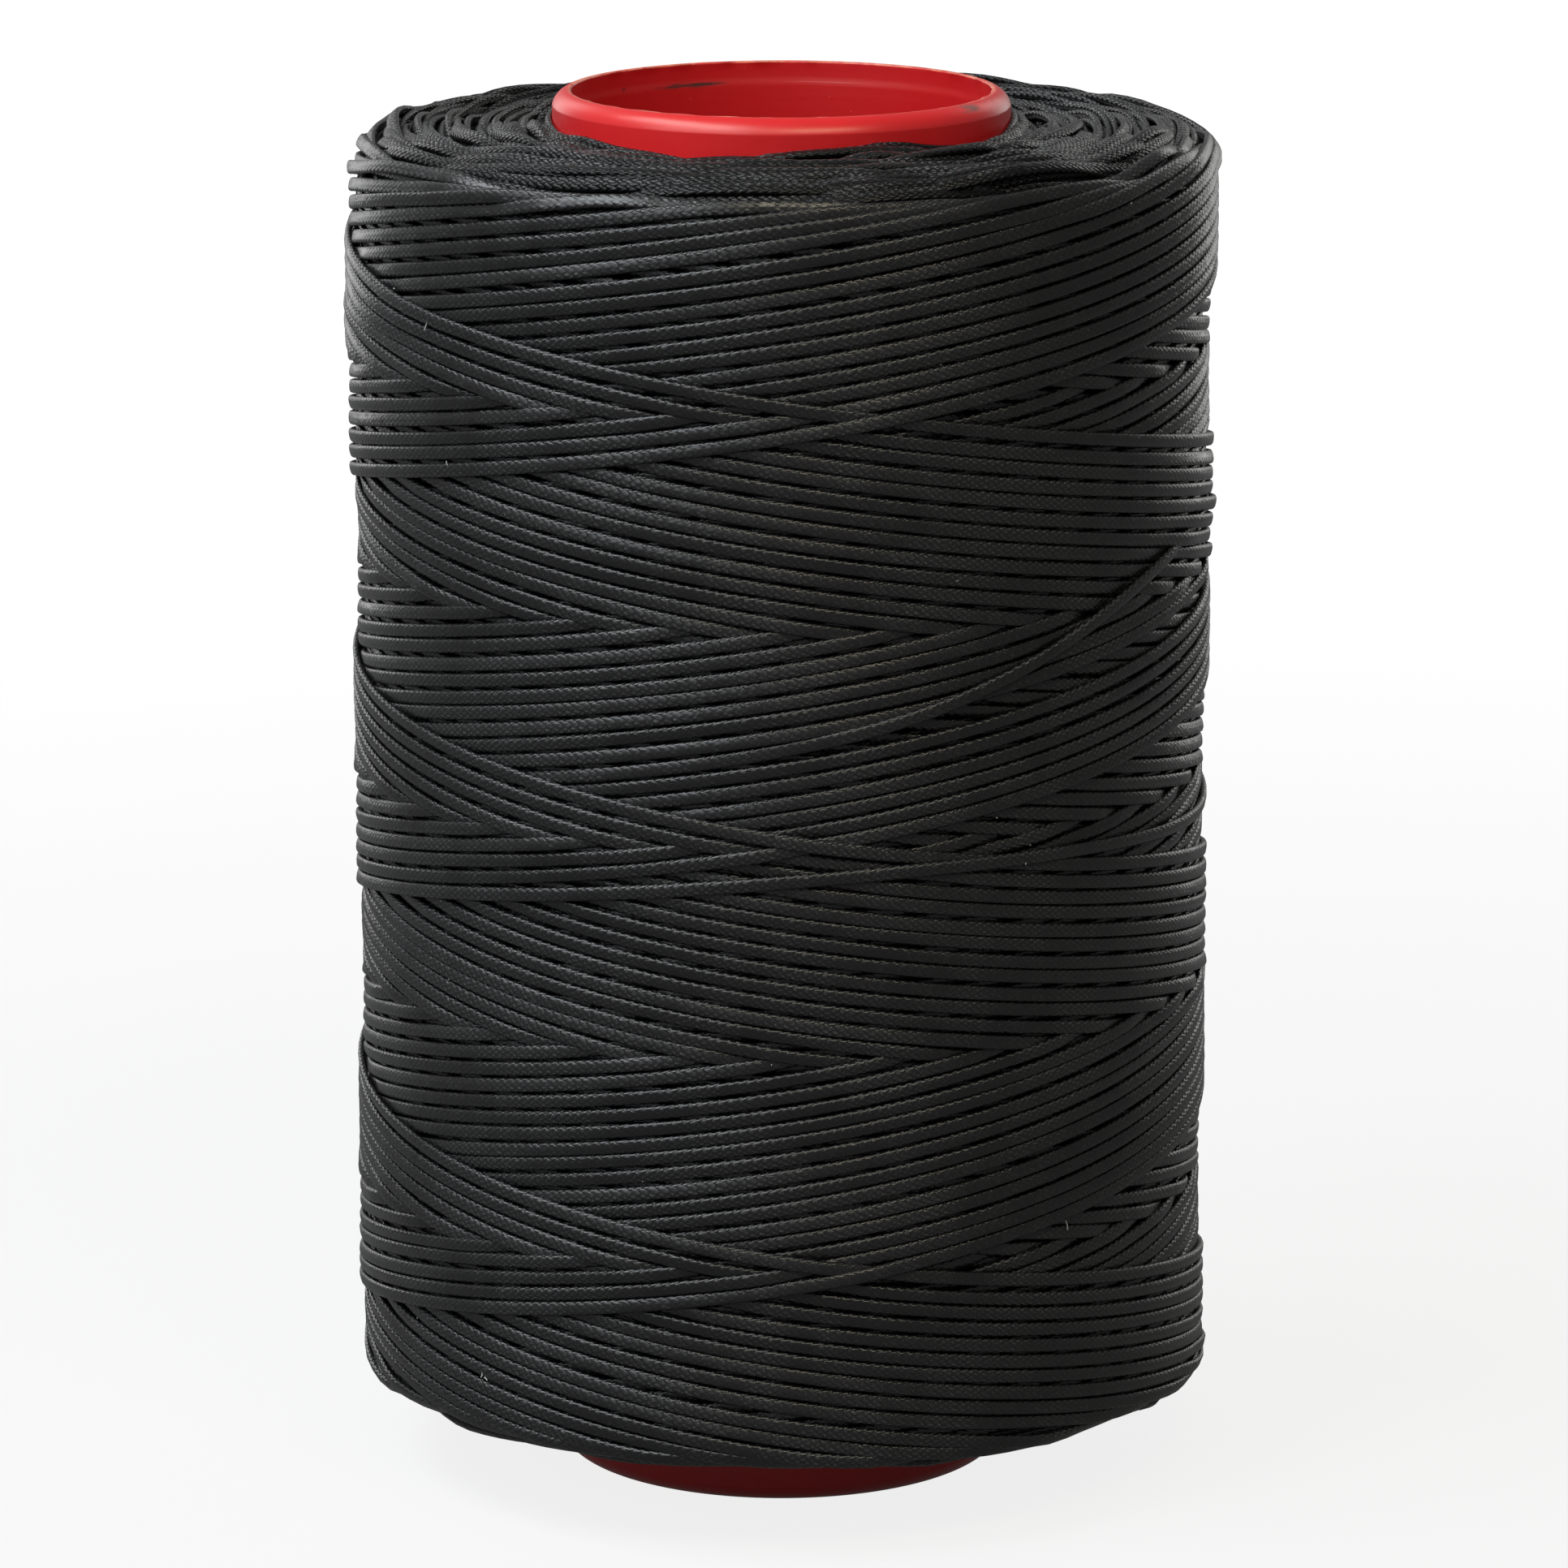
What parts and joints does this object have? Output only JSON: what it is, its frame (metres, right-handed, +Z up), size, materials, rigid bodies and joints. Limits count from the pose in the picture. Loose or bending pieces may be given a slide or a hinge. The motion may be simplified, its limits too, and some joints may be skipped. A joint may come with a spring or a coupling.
{
  "type": "waxed thread spool",
  "caption": "Cross-wound package of flat braided waxed sewing thread on a straight, open-ended plastic winding tube that slides over a spindle.",
  "frame": {"origin": "middle of the lower rim of the winding tube, in the plane that the spool stands on", "axes": "+Z up the winding tube's axis, from the rim with the longer bare step to the rim with the shorter one; -Y faces the pictured side"},
  "size_m": [0.084, 0.084, 0.1363],
  "materials": {
    "tube_plastic": "opaque red moulded plastic, glossy, with handling scuffs on the rims",
    "waxed_thread_buried": "black waxed polyester braid, satin",
    "waxed_thread_outer": "black waxed polyester braid, satin with a soft wax sheen"
  },
  "bodies": {
    "root": {"winding_tube": "tube_plastic", "thread_core": "waxed_thread_buried", "thread_outer_turns": "waxed_thread_outer"}
  },
  "joints": []
}
